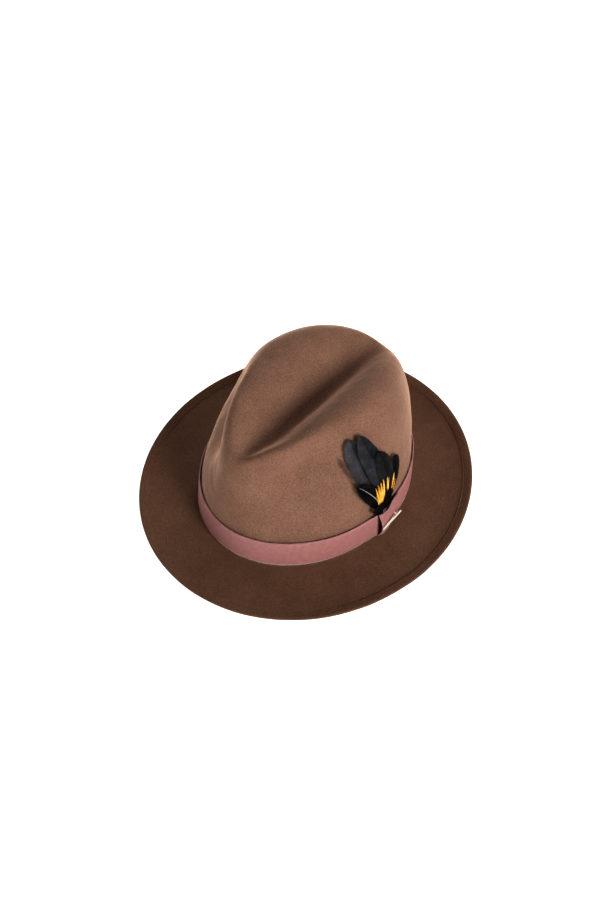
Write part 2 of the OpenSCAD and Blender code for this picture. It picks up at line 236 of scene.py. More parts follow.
# ---- mesh helpers
def ring_faces(m, n, closed_rows=False):
    """Quads between neighbouring closed rings; the last ring may join the first."""
    i = np.arange(m if closed_rows else m - 1)[:, None]
    j = np.arange(n)[None, :]
    a, b = i * n + j, i * n + (j + 1) % n
    k = (i + 1) % m
    c, d = k * n + j, k * n + (j + 1) % n
    return np.stack([a, b, d, c], -1).reshape(-1, 4).tolist()


def sheet_faces(m, n):
    """Quads of an open grid of m rows and n columns."""
    i, j = np.arange(m - 1)[:, None], np.arange(n - 1)[None, :]
    a = i * n + j
    return np.stack([a, a + 1, a + n + 1, a + n], -1).reshape(-1, 4).tolist()


def make(name, points, faces, material, body, uv=None):
    """A smooth mesh piece that rides on a body."""
    mesh = bpy.data.meshes.new(name)
    mesh.from_pydata(np.asarray(points, float).reshape(-1, 3).tolist(), [], faces)
    mesh.validate()
    mesh.polygons.foreach_set("use_smooth", [True] * len(mesh.polygons))
    if uv is not None:
        layer = mesh.uv_layers.new(name="UVMap")
        loops = np.zeros(len(mesh.loops), np.int32)
        mesh.loops.foreach_get("vertex_index", loops)
        layer.data.foreach_set("uv", np.asarray(uv, float).reshape(-1, 2)[loops].ravel())
    mesh.update()
    piece = bpy.data.objects.new(name, mesh)
    bpy.context.scene.collection.objects.link(piece)
    mesh.materials.append(material)
    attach(piece, body)
    return piece


def tube_along(path, radius, rings, sides):
    """A round tube along path(s), s from 0 to 1, with radius(s); closed at both ends."""
    s = np.linspace(0, 1, rings)
    centre = path(s)
    way = unit(np.gradient(centre, axis=0))
    a = unit(np.cross(way, [1.0, 0.0, 0.15]))
    b = np.cross(way, a)
    turn = circle(sides)
    r = np.broadcast_to(np.asarray(radius(s), float), s.shape)[:, None, None]
    points = centre[:, None] + r * (a[:, None] * np.cos(turn)[None, :, None]
                                    + b[:, None] * np.sin(turn)[None, :, None])
    faces = ring_faces(rings, sides)
    faces += [tuple(range(sides))[::-1], tuple(range((rings - 1) * sides, rings * sides))]
    return points.reshape(-1, 3), faces


def joined(tubes):
    """Several tubes of the same make as one set of points and faces."""
    points, faces = [], []
    for p, f in tubes:
        faces += [tuple(v + len(points) * len(p) for v in face) for face in f]
        points.append(p)
    return np.concatenate(points), faces


def grid_normals(rows):
    down = np.gradient(rows, axis=0)
    side = np.roll(rows, -1, axis=1) - np.roll(rows, 1, axis=1)
    n = np.cross(down, side)
    return n / (np.linalg.norm(n, axis=2, keepdims=True) + 1e-12)


# ---- materials
def new_material(name, roughness, **sockets):
    """A Principled material; socket names are given with _ for each space."""
    material = bpy.data.materials.new(name)
    material.use_nodes = True
    shader = material.node_tree.nodes["Principled BSDF"]
    shader.inputs["Roughness"].default_value = roughness
    for key, value in sockets.items():
        shader.inputs[key.replace("_", " ")].default_value = value
    return material, material.node_tree, shader


def node(tree, kind, **values):
    made = tree.nodes.new(kind)
    for key, value in values.items():
        setattr(made, key, value)
    return made


def noise(tree, where, scale, detail=4.0, roughness=0.6):
    made = node(tree, "ShaderNodeTexNoise")
    made.inputs["Scale"].default_value = scale
    made.inputs["Detail"].default_value = detail
    made.inputs["Roughness"].default_value = roughness
    tree.links.new(where, made.inputs["Vector"])
    return made.outputs["Fac"]


def ramp(tree, value, stops):
    made = node(tree, "ShaderNodeValToRGB")
    elements = made.color_ramp.elements
    while len(elements) < len(stops):
        elements.new(0.5)
    for element, (place, colour) in zip(elements, stops):
        element.position = place
        element.color = (*colour, 1)
    tree.links.new(value, made.inputs["Fac"])
    return made.outputs["Color"]


def bump(tree, height, distance, strength, below=None):
    made = node(tree, "ShaderNodeBump")
    made.inputs["Strength"].default_value = strength
    made.inputs["Distance"].default_value = distance
    tree.links.new(height, made.inputs["Height"])
    if below is not None:
        tree.links.new(below, made.inputs["Normal"])
    return made.outputs["Normal"]


def object_place(tree):
    return node(tree, "ShaderNodeTexCoord").outputs["Object"]


def blend(tree, a, b, share):
    """a * share + b * (1 - share)."""
    part = node(tree, "ShaderNodeMath", operation="MULTIPLY")
    tree.links.new(b, part.inputs[0])
    part.inputs[1].default_value = 1 - share
    mixed = node(tree, "ShaderNodeMath", operation="MULTIPLY_ADD")
    tree.links.new(a, mixed.inputs[0])
    mixed.inputs[1].default_value = share
    tree.links.new(part.outputs[0], mixed.inputs[2])
    return mixed.outputs[0]


def mottled(name, roughness, cloud, stops, grain=None, **sockets):
    """A material with its colour ramped over noise, and a fine bump if grain is given.

    cloud is the noise's scale, detail and roughness; grain is scale, detail, distance, strength.
    """
    material, tree, shader = new_material(name, roughness, **sockets)
    place = object_place(tree)
    tree.links.new(ramp(tree, noise(tree, place, *cloud), stops), shader.inputs["Base Color"])
    if grain:
        scale, detail, distance, strength = grain
        tree.links.new(bump(tree, noise(tree, place, scale, detail), distance, strength),
                       shader.inputs["Normal"])
    return material


FELT_FIBRE_SHARE = 0.72           # of the mottling; clouds make up the rest
FELT_STOPS = [(0.34, (0.102, 0.045, 0.027)), (0.5, (0.157, 0.074, 0.045)),
              (0.67, (0.230, 0.116, 0.073))]
BRIM_SHADE = (0.012, 0.035)       # heights between which the brim's painted shade fades out
# painted shade: the brim's colour is darkened, standing in for the lesser light that falls on it
BRIM_PAINTED_SHADE = (0.56, 0.50, 0.40)


def felt_material():
    material, tree, shader = new_material(
        "felt", 0.95, Sheen_Weight=1.0, Sheen_Roughness=0.3, Sheen_Tint=(1.0, 0.58, 0.38, 1),
        Specular_IOR_Level=0.15)
    place = object_place(tree)
    cloud = noise(tree, place, 45, 5, 0.65)
    fibre = noise(tree, place, 900, 3, 0.7)
    colour = ramp(tree, blend(tree, fibre, cloud, FELT_FIBRE_SHARE), FELT_STOPS)
    # painted shade: the felt's colour grows darker towards the brim, by height
    apart = node(tree, "ShaderNodeSeparateXYZ")
    tree.links.new(place, apart.inputs[0])
    shade = node(tree, "ShaderNodeMapRange")
    tree.links.new(apart.outputs["Z"], shade.inputs["Value"])
    shade.inputs["From Min"].default_value, shade.inputs["From Max"].default_value = BRIM_SHADE
    shaded_colour = node(tree, "ShaderNodeVectorMath", operation="MULTIPLY")
    tree.links.new(colour, shaded_colour.inputs[0])
    tree.links.new(ramp(tree, shade.outputs[0], [(0, BRIM_PAINTED_SHADE), (1, (1, 1, 1))]), shaded_colour.inputs[1])
    tree.links.new(shaded_colour.outputs[0], shader.inputs["Base Color"])
    lumps = bump(tree, noise(tree, place, 160, 4, 0.6), 0.0006, 0.5)
    tree.links.new(bump(tree, fibre, 0.00025, 0.6, lumps), shader.inputs["Normal"])
    return material


def cloth_material(name, dark, light, sheen):
    return mottled(name, 0.75, (600, 4), [(0.35, dark), (0.65, light)],
                   (1500, 2, 0.0001, 0.5), Sheen_Weight=sheen, Sheen_Roughness=0.4)


# ---- felt
def ripple(p, wavelength, amount, seed, waves=28):
    """Gentle unevenness: a sum of seeded waves of about one length, in every direction."""
    rng = np.random.default_rng(seed)
    way = unit(rng.normal(size=(waves, 3)))
    way *= 2 * math.pi / wavelength * rng.uniform(0.6, 1.5, (waves, 1))
    phase = rng.uniform(0, 2 * math.pi, waves)
    return amount * np.sin(p @ way.T + phase).sum(-1) / math.sqrt(waves / 2)


def felt_rows(theta, crown_rows, fillet_rows, brim_shares):
    """The felt's upper face as closed rows from just under the apex to the brim's edge."""
    fillet_q = (FILLET / CROWN_HEIGHT) ** (1 / SHOULDER_HEIGHT / ROWS_LOW) * 0.97
    u0 = FILLET / BRIM_SIDE
    rows = [crown(theta, 1 - (1 - fillet_q) * i / crown_rows) for i in range(1, crown_rows + 1)]
    a, c, b = crown(theta, fillet_q), brim(theta, 0.0), brim(theta, u0)
    for i in range(1, fillet_rows + 1):
        t = i / (fillet_rows + 1)
        rows.append(a * (1 - t) ** 2 + 2 * c * t * (1 - t) + b * t * t)
    rows += [brim(theta, u0 + (1 - u0) * share) for share in brim_shares]
    return np.array(rows) + [0, 0, BREAK_Z]


WELT_START = 0.87                 # share of the brim where its edge is pressed thicker
WELT_THICKNESS = 0.0004
WELT_RAMP = 0.02
WELT_GROOVE = 0.0005
WELT_GROOVE_WIDTH = 0.011
WELT_NEAR, WELT_CLOSE = 0.03, 0.024      # where rows grow dense on both sides of the groove
FELT_WAVES = ((0.045, 0.00016, 3), (0.013, 0.00005, 4))     # wavelength, amount, seed
GROUND_SNAP = 0.0002              # felt this near to the ground lies flat on it


def felt_body():
    around, edge_steps = 420, 7
    theta = circle(around)
    shares = np.concatenate([np.linspace(0, WELT_START - WELT_NEAR, 44),
                             np.linspace(WELT_START - WELT_CLOSE, WELT_START + WELT_CLOSE, 13),
                             np.linspace(WELT_START + WELT_NEAR, 1, 12)])
    top = felt_rows(theta, 150, 6, shares)
    normal = grid_normals(top)
    share = np.concatenate([np.zeros(len(top) - len(shares)), shares])
    welt = (WELT_THICKNESS * smooth(WELT_START, WELT_START + WELT_RAMP, share)
            - WELT_GROOVE * bell((share - WELT_START) / WELT_GROOVE_WIDTH))
    shown = 1 - 0.85 * smooth(0.3, 0.9, -np.sin(theta))          # the welt fades at the front
    top = top + normal * (welt[:, None] * shown)[..., None]
    uneven = sum(ripple(top, *wave) for wave in FELT_WAVES)
    flat_ring = smooth(0.0, 0.006, top[..., 2] - BREAK_Z)
    top = top + normal * (uneven * flat_ring)[..., None]
    under = top - normal * FELT
    under[..., 2] = np.where(under[..., 2] < GROUND_SNAP, 0, under[..., 2])
    # round the cut edge of the brim
    middle, reach = (top[-1] + under[-1]) / 2, (top[-1] - under[-1]) / 2
    out = unit(np.cross(np.roll(top[-1], -1, 0) - np.roll(top[-1], 1, 0), normal[-1]))
    edge = [middle + reach * math.cos(a) + out * FELT / 2 * math.sin(a)
            for a in np.linspace(0, math.pi, edge_steps + 2)[1:-1]]
    rings = np.concatenate([top, edge, under[::-1]])
    apex = creased(block(0.0, math.pi / 2)) + [0, 0, BREAK_Z]
    points = np.concatenate([rings.reshape(-1, 3), [apex], [apex - [0, 0, FELT]]])
    m, n = len(rings), around
    caps = []
    for j in range(n):
        k = (j + 1) % n
        caps += [(m * n, j, k), (m * n + 1, (m - 1) * n + k, (m - 1) * n + j)]
    faces = [f[::-1] for f in ring_faces(m, n)] + caps
    piece = make("felt_shell", points, faces, felt_material(), "hat")
    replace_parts(piece, "felt_body")


# ---- grosgrain
RIBBON_STOPS = [(0.2, (0.228, 0.074, 0.067)), (0.5, (0.335, 0.122, 0.110)),
                (0.85, (0.420, 0.170, 0.154))]
RIB_PITCH = 0.0010
RIB_DEPTH = 0.00010
RIB_POINTS = 4                    # points along one rib
TOOTH_PITCH = 0.0020
TOOTH = 0.0006
BAND_LEAN = 0.0007                # how much further out the ribbon's upper edge stands
KEEPER_FRONT_PUFF = (0.0046, 0.022)      # rise of the keeper's folds, and their width as angle
KEEPER_BACK_PUFF = (0.0012, 0.025)
KEEPER_ABOVE = 0.0010             # how far the keeper rises over the band
KEEPER_SHADE = 0.0006             # how far its shade reaches out from under it


def grosgrain_material():
    material, tree, shader = new_material("grosgrain", 0.62, Sheen_Weight=0.35,
                                          Sheen_Roughness=0.35, Sheen_Tint=(1, 0.80, 0.78, 1))
    split = node(tree, "ShaderNodeSeparateXYZ")
    tree.links.new(node(tree, "ShaderNodeTexCoord").outputs["UV"], split.inputs[0])
    angle = node(tree, "ShaderNodeMath", operation="MULTIPLY")
    tree.links.new(split.outputs["X"], angle.inputs[0])
    angle.inputs[1].default_value = 2 * math.pi / (RIB_PITCH / MM)
    wave = node(tree, "ShaderNodeMath", operation="SINE")
    tree.links.new(angle.outputs[0], wave.inputs[0])
    shade = node(tree, "ShaderNodeMapRange")
    shade.inputs["From Min"].default_value = -1.0
    tree.links.new(wave.outputs[0], shade.inputs["Value"])
    mixed = blend(tree, noise(tree, object_place(tree), 320, 4), shade.outputs[0], 0.6)
    tree.links.new(ramp(tree, mixed, RIBBON_STOPS), shader.inputs["Base Color"])
    tree.links.new(bump(tree, shade.outputs[0], 0.0002, 0.5), shader.inputs["Normal"])
    return material


def ribbed(start, end, closed, low, high, rows, off, thickness, edges, lift):
    """A ribbed ribbon along the wall. off and lift say how far it stands from the felt."""
    length = HEAD_HALF_LENGTH * (end - start)
    columns = int(abs(length) / RIB_PITCH) * RIB_POINTS
    theta = np.linspace(start, end, columns, endpoint=not closed)
    along = np.arange(columns) / RIB_POINTS * RIB_PITCH
    rib = RIB_DEPTH * np.cos(2 * math.pi * along / RIB_PITCH)
    tooth = TOOTH * (np.abs((along / TOOTH_PITCH) % 1 - 0.5) * 2)
    faces_of = []
    share = np.linspace(0, 1, rows)
    for side in (0, 1):
        face = []
        for f in (share if side else share[::-1]):
            z = low + (high - low) * f + (tooth if f == 1 and edges else 0)
            stand = off + lift(theta, f) + (thickness + rib if side else 0)
            face.append(wall(theta, z, stand))
        faces_of += face
    return np.array(faces_of), along


def ribbon_uv(rings, along):
    """Ribbon coordinates in millimetres: along the ribbon, and its rows."""
    m = len(rings)
    u = np.broadcast_to(along / MM, (m, len(along)))
    v = np.broadcast_to(np.arange(m)[:, None], u.shape)
    return np.stack([u, v], -1)


def shade_under_keeper(piece, dark, faces):
    """Gives the faces under the keeper the dark material as painted shade, which keeps the slit
    under the keeper dark.
    """
    piece.data.materials.append(dark)
    for i in faces:
        piece.data.polygons[i].material_index = 1


def ribbon_band(material, dark):
    def lift(theta, f):
        return pocket(theta) + BAND_LEAN * f ** 2

    rings, along = ribbed(0, 2 * math.pi, True, BAND_LOW, BAND_LOW + BAND_HEIGHT, 10,
                          BAND_OFFSET, BAND_THICKNESS, True, lift)
    faces = ring_faces(len(rings), rings.shape[1], True)
    piece = make("band_ribbon", rings, faces, material, "hat",
                 ribbon_uv(rings, along))
    # painted shade: the band's faces under the keeper, and just beside it, get the dark cloth
    shaded_by_keeper = [p.index for p in piece.data.polygons if p.center.x > 0
               and 0 < p.center.y - KEEPER_START + KEEPER_SHADE < KEEPER_LENGTH]
    shade_under_keeper(piece, dark, shaded_by_keeper)
    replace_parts(piece, "ribbon_band")


def band_keeper(material, dark):
    start = math.asin(KEEPER_START / HEAD_HALF_LENGTH)
    end = math.asin((KEEPER_START + KEEPER_LENGTH) / HEAD_HALF_LENGTH)
    inner = BAND_OFFSET + BAND_THICKNESS + CLEARANCE

    def lift(theta, f):
        folds = ((start, KEEPER_FRONT_PUFF), (end, KEEPER_BACK_PUFF))
        puffs = sum(bell((theta - at) / width) * rise for at, (rise, width) in folds)
        return pocket(theta) + BAND_LEAN * f ** 2 + puffs * math.sin(math.pi * f)

    rings, along = ribbed(start, end, False, BAND_LOW - CLEARANCE,
                          BAND_LOW + BAND_HEIGHT + KEEPER_ABOVE, 14, inner, BAND_THICKNESS, False,
                          lift)
    m, n = rings.shape[:2]
    faces = sheet_faces(m, n)
    faces += [((m - 1) * n + j + 1, (m - 1) * n + j, j, j + 1) for j in range(n - 1)]
    for i in range(m // 2 - 1):
        a, b = i * n, (m - 1 - i) * n
        faces += [(a, a + n, b - n, b), (b + n - 1, b - 1, a + 2 * n - 1, a + n - 1)]
    faces = [f[::-1] for f in faces]
    piece = make("keeper_ribbon", rings, faces, material, "hat",
                 ribbon_uv(rings, along))
    # painted shade: the keeper's inner face gets the dark cloth
    shade_under_keeper(piece, dark, range((m // 2 - 1) * (n - 1)))
    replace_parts(piece, "band_keeper")


# ---- badge
BADGE_LENGTH = 0.026
BADGE_HEIGHT = 0.0020
BADGE_THICKNESS = 0.0010
BADGE_Y = 0.0075
BADGE_Z = 0.0095
BADGE_GAP = 0.0005
BADGE_STEP = (0.011, 0.0012, -0.003)     # length, height, shift along the bar
PIN_SPACING = 0.016
PIN_RADIUS = 0.0006
PIN_REACH = (0.0011, 0.0034)


def metal_material():
    return mottled("badge_metal", 0.45, (500, 3),
                   [(0.3, (0.90, 0.80, 0.60)), (0.7, (1.0, 0.94, 0.80))],
                   (2500, 2, 0.00005, 0.25), Metallic=0.25)


def badge_bar(material):
    theta = math.asin(BADGE_Y / HEAD_HALF_LENGTH)
    off = BAND_OFFSET + 2 * BAND_THICKNESS + CLEARANCE + POCKET_DEPTH + BADGE_GAP
    at = wall(np.array(theta), BADGE_Z, off)
    turn = theta * HEAD_HALF_WIDTH / HEAD_HALF_LENGTH
    step_length, step_height, shift = BADGE_STEP
    x0, x1, y0, y1 = -BADGE_LENGTH / 2, BADGE_LENGTH / 2, -BADGE_HEIGHT / 2, BADGE_HEIGHT / 2
    s0, s1 = shift - step_length / 2, shift + step_length / 2
    outline = [(x0, y0), (x1, y0), (x1, y1), (s1, y1), (s1, y1 + step_height),
               (s0, y1 + step_height), (s0, y1), (x0, y1)]
    along = np.array([-math.sin(turn), math.cos(turn), 0])
    out = np.array([math.cos(turn), math.sin(turn), 0])
    points = [at + along * x + np.array([0, 0, y]) + out * d
              for d in (0, BADGE_THICKNESS) for x, y in outline]
    n = len(outline)
    faces = [tuple(range(n))[::-1], tuple(range(n, 2 * n))]
    faces += [(i, (i + 1) % n, n + (i + 1) % n, n + i) for i in range(n)]
    piece = make("badge_plate", points, faces, material, "hat")
    bevel = piece.modifiers.new("bevel", "BEVEL")
    bevel.width, bevel.segments, bevel.limit_method = 0.0003, 3, "ANGLE"
    piece.data.polygons.foreach_set("use_smooth", [False] * len(piece.data.polygons))
    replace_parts(piece, "badge_bar")

    def post(side, reach):
        head = at + along * side * PIN_SPACING / 2
        return tube_along(lambda s: head - out * reach * s[:, None], lambda s: PIN_RADIUS, 4, 24)

    points, faces = joined([post(side, reach) for side, reach in zip((-1, 1), PIN_REACH)])
    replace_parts(make("badge_posts", points, faces, material, "hat"), "badge_pins")


# ---- feathers
FEATHER_HEIGHT = 0.1095
BINDING_LOW = BAND_LOW + BAND_HEIGHT + 2 * CLEARANCE
BINDING_HIGH = BINDING_LOW + 0.005
QUILL_Z = BINDING_LOW + 0.001
LAYER_FIRST = 0.001
LAYER_STEP = 0.0011
LAYER_CLOSE = 0.5
LAYERS_OPEN = 0.020
FRONT_LAYER = 7.3
GOLD_LAYER = 6
TIP_STAND = 0.0015                # how much further out the feathers' tips stand
TIP_STAND_Z = 0.040               # from this height on
VANE_DROOP = 0.108                # how much a vane bends down towards the crown at its edge
BARB_STEPS = 9                    # points along one barb
QUILL_RADIUS = 0.00062


def layer_off(layer, z):
    opened = smooth(BINDING_HIGH, BINDING_HIGH + LAYERS_OPEN, z)
    return (LAYER_FIRST + layer * LAYER_STEP * (LAYER_CLOSE + (1 - LAYER_CLOSE) * opened)
            + TIP_STAND * smooth(TIP_STAND_Z, FEATHER_HEIGHT, z))


def vane(t):
    """The vane's half width at share t of the feather, as a share of its greatest."""
    return np.maximum(0, np.sin(math.pi * np.clip(t, 0, 1) ** 1.5)) ** 0.5


class Quill:
    """The middle line of a feather beside the crown, and places on its vane."""

    def __init__(self, base_y, tip, bow, half, layer):
        self.base, self.tip = np.array([base_y, QUILL_Z]), np.array(tip, float)
        self.bow, self.half, self.layer = np.array(bow, float), half, layer
        self.length = float(np.linalg.norm(self.tip - self.base))

    def place(self, t, across, above=0.0):
        """3-D points at share t along, across metres to the side, above the middle layer."""
        t, across = np.broadcast_arrays(t, across)
        mid = self.base + (self.tip - self.base) * t[..., None] \
            + self.bow * (4 * t * (1 - t))[..., None]
        along = (self.tip - self.base) + self.bow * (4 * (1 - 2 * t))[..., None]
        along = unit(along)
        y = mid[..., 0] + across * along[..., 1]
        z = mid[..., 1] - across * along[..., 0]
        droop = VANE_DROOP * across ** 2 / self.half
        return beside(y, z, layer_off(self.layer, z) + above - droop)


def strips(path, half_width, way, name, material, body):
    """Joins paths (count, steps, 3) into flat tapered strips, half_width to each side of way."""
    left, right = path - way * half_width[..., None], path + way * half_width[..., None]
    count, steps = path.shape[:2]
    points = np.stack([left, right], 2).reshape(-1, 3)
    base = (np.arange(count) * steps * 2)[:, None] + np.arange(steps - 1)[None, :] * 2
    faces = np.stack([base, base + 1, base + 3, base + 2], -1).reshape(-1, 4).tolist()
    return make(name, points, faces, material, body)


def barbs(quill, rng, spacing, slant, start, ragged, split, fill):
    """Barb paths on both sides of a quill: where each point is along and across it."""
    count = int(quill.length * (1 - start) / spacing)
    s = np.linspace(0, 1, BARB_STEPS)[None, :]
    root = np.linspace(start, 0.998, count)[:, None]
    paths, widths = [], []
    for side in (-1, 1):
        clump = np.cumsum(rng.random(count) < split)
        jitter = rng.normal(0, ragged, clump[-1] + 1)[clump][:, None]
        reach = slant * (1 - 0.55 * root) * (quill.half / quill.length) * 1.4
        reach = np.maximum(reach + jitter, 0.2 * reach)
        reach = reach * (1 - root) / (1 - root + reach)
        t = root + reach * s ** 1.25
        longer = 1 + rng.normal(0, 0.02, (count, 1)) + jitter * 2
        across = side * quill.half * vane(root + reach) * s ** 0.85 * longer
        rise = 0.00016 * rng.random((count, 1)) + 0.00008 * s
        paths.append((t, across, rise + 0 * t))
        widths.append(spacing * fill * (1 - 0.45 * s ** 4) + 0 * root)
    t, across, rise = (np.concatenate([p[k] for p in paths]) for k in range(3))
    return t, across, rise, np.concatenate(widths)


def feather(name, stands_for, quill, material, slot, seed, spacing=0.00045, slant=2.0,
            start=0.10, ragged=0.004, split=0.06, shaft=None, fill=1.25):
    """A vane of barbs and its shaft. split is the chance that the vane parts at a barb."""
    rng = np.random.default_rng(seed)
    t, across, rise, width = barbs(quill, rng, spacing, slant, start, ragged, split, fill)
    path = quill.place(t, across, rise)
    out = quill.place(t, across, rise + 0.0005) - path
    way = unit(np.cross(out, np.gradient(path, axis=1)))
    way *= np.sign(way[..., 2:3] + 1e-9)
    piece = strips(path, width, way, name, material, "feather_spray")
    points, faces = tube_along(lambda s: quill.place(s * 0.97, 0 * s, 0.00025),
                               lambda s: QUILL_RADIUS * (1 - 0.8 * s), 60, 8)
    make(name + "_quill", points, faces, shaft or material, "feather_spray")
    if stands_for:
        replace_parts(piece, stands_for)


def feather_material(name, stops, sheen, roughness, gloss=0.12):
    places = (0.35, 0.5, 0.66)
    return mottled(name, roughness, (120, 5, 0.7), list(zip(places, stops)),
                   (2200, 2, 0.00008, 0.4), Sheen_Weight=sheen, Sheen_Roughness=0.3,
                   Specular_IOR_Level=gloss)


# foot of the tuft, number of blades, first tip (y, z), step from tip to tip
TUFTS = [(-0.0055, 4, (-0.0108, 0.065), (0.0026, 0.0015)),
         (-0.001, 2, (0.0012, 0.069), (0.0078, -0.002))]
BLADE_HAIRS = 6                   # one broad blade and its stray hairs
BLADE_HALF_WIDTH, HAIR_HALF_WIDTH = 0.00125, 0.00030
BLADE_PITCH = 0.0009


def gold_barbs(material):
    """Two tufts of golden blades that fan out from the binding."""
    rng = np.random.default_rng(21)
    paths, widths = [], []
    s = np.linspace(0, 1, 18)
    for start, count, first, step in TUFTS:
        for i in range(count):
            for hair in range(BLADE_HAIRS):
                stray = hair > 0
                tip_y = first[0] + step[0] * i + stray * rng.normal(0, 0.0008)
                tip_z = first[1] + step[1] * i - stray * abs(rng.normal(0, 0.004))
                base_y = start + BLADE_PITCH * (i - (count - 1) / 2)
                y = base_y + (tip_y - base_y) * s ** 1.15
                z = QUILL_Z + (tip_z - QUILL_Z) * s
                lift = 0.0001 * hair + stray * 0.0006 * s ** 2 * rng.random()
                paths.append(beside(y, z, layer_off(GOLD_LAYER, z) + lift))
                full = HAIR_HALF_WIDTH if stray else BLADE_HALF_WIDTH
                widths.append(full * s ** 0.8 * (1 - s ** 3) + 0.00003)
    path, width = np.array(paths), np.array(widths)
    way = np.zeros_like(path)
    way[..., 1], way[..., 0] = 1, 0.15
    piece = strips(path, width, unit(way), "gold_barbs", material, "feather_spray")
    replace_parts(piece, "gold_hackle")


THREAD_HALF_WIDTH = 0.0065        # of the binding, along the hat
THREAD_TURNS = 9
THREAD_RADIUS = 0.00028
THREAD_INNER = 0.0006
STEM_LOW = 0.007
STEM_OFF = 0.0015


def binding(material):
    """Thread wound round the quills just above the band."""
    outer = layer_off(FRONT_LAYER, BINDING_LOW) + 0.0003
    middle, half = (THREAD_INNER + outer) / 2, (outer - THREAD_INNER) / 2

    def path(s):
        a = 2 * math.pi * THREAD_TURNS * s
        return beside(THREAD_HALF_WIDTH * np.cos(a), BINDING_LOW + 0.0004 + 0.0042 * s,
                      middle + half * np.sin(a))

    points, faces = tube_along(path, lambda s: THREAD_RADIUS, THREAD_TURNS * 40, 6)
    piece = make("binding_thread", points, faces, material, "feather_spray")
    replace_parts(piece, "feather_binding")


def quill_bundle(material):
    """Bare quill ends behind the band."""
    length = BINDING_LOW + 0.002 - STEM_LOW

    def quill_end(y):
        return tube_along(lambda s: beside(y + 0 * s, STEM_LOW + length * s, STEM_OFF),
                          lambda s: 0.00048 * (0.7 + 0.3 * s), 12, 8)

    points, faces = joined([quill_end(-0.0025 + 0.001 * k) for k in range(6)])
    piece = make("quill_bundle", points, faces, material, "feather_spray")
    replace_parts(piece, "feather_stem")


def feather_spray():
    charcoal = feather_material("charcoal_feather", [
        (0.0020, 0.0020, 0.0026), (0.0048, 0.0046, 0.0062), (0.0190, 0.0180, 0.0250)],
        0.01, 0.6, 0.10)
    # painted highlight: a lighter copy of the charcoal feather, for the left feather
    highlight_charcoal = feather_material("charcoal_painted_highlight", [
        (0.0050, 0.0046, 0.0056), (0.0130, 0.0115, 0.0140), (0.0380, 0.0340, 0.0400)],
        0.02, 0.6, 0.16)
    dusk = feather_material("dusk_feather", [
        (0.0010, 0.0010, 0.0012), (0.0025, 0.0023, 0.0028), (0.0080, 0.0075, 0.0095)],
        0.0, 0.6, 0.04)
    black = feather_material("black_feather", [
        (0.0005, 0.0004, 0.0004), (0.0012, 0.0009, 0.0009), (0.0030, 0.0026, 0.0030)],
        0.0, 0.6, 0.02)
    down = feather_material("down", [
        (0.030, 0.014, 0.010), (0.050, 0.026, 0.019), (0.085, 0.048, 0.036)], 0.3, 0.9)
    gold = feather_material("gold_feather", [
        (0.60, 0.22, 0.012), (0.90, 0.42, 0.035), (1.0, 0.66, 0.14)], 0.1, 0.6)
    pale = feather_material("pale_quill", [
        (0.16, 0.15, 0.15), (0.24, 0.22, 0.22), (0.32, 0.30, 0.29)], 0.2, 0.5)
    thread = cloth_material("binding_thread", (0.035, 0.005, 0.005), (0.075, 0.010, 0.008), 0.1)
    top = FEATHER_HEIGHT
    foot = dict(start=0.0, ragged=0.03, split=0.3)
    # piece, CAD node, middle line, material, slot, seed, options; from the crown outwards
    spray = [
        ("wisp_down", "feather_wisp", Quill(-0.005, (-0.0245, 0.091), (-0.003, 0), 0.003, 0),
         down, "down", 11, dict(spacing=0.0004, slant=5.0, ragged=0.12, split=0.9, fill=0.12)),
        ("charcoal_left", "feather_long_left",
         Quill(-0.0034, (-0.014, top - 0.0035), (-0.0035, 0), 0.0075, 1),
         highlight_charcoal, "charcoal_feather", 12, dict(ragged=0.008, split=0.1)),
        ("black_back", "feather_back", Quill(0.0034, (0.016, 0.077), (0.003, -0.002), 0.0095, 2),
         black, "black_feather", 13, {}),
        ("charcoal_long", "feather_long",
         Quill(-0.0002, (-0.0075, top - 0.001), (0.0005, 0), 0.008, 3),
         charcoal, "charcoal_feather", 14, dict(ragged=0.008, split=0.1)),
        ("charcoal_right", "feather_long_right",
         Quill(0.0014, (0.0005, top - 0.017), (0.0025, 0), 0.008, 4),
         dusk, "charcoal_feather", 15, dict(ragged=0.006, split=0.1)),
        ("black_lower", "feather_lower",
         Quill(-0.0042, (-0.0225, 0.071), (0.003, 0.0015), 0.0072, 4.8),
         black, "black_feather", 16, dict(shaft=pale)),
        ("black_front", "feather_front_small",
         Quill(0.0005, (0.0008, 0.057), (0, 0), 0.0055, FRONT_LAYER),
         black, "black_feather", 17, dict(start=0.0)),
        ("black_foot", None, Quill(-0.0035, (-0.0085, 0.0465), (-0.001, 0), 0.0065, 7.6),
         black, "black_feather", 18, foot),
        ("black_foot_back", None, Quill(0.002, (0.006, 0.0455), (0.001, 0), 0.0055, 7.9),
         black, "black_feather", 19, foot),
    ]
    for name, stands_for, quill, material, slot, seed, options in spray:
        feather(name, stands_for, quill, material, slot, seed, **options)
    gold_barbs(gold)
    binding(thread)
    quill_bundle(pale)


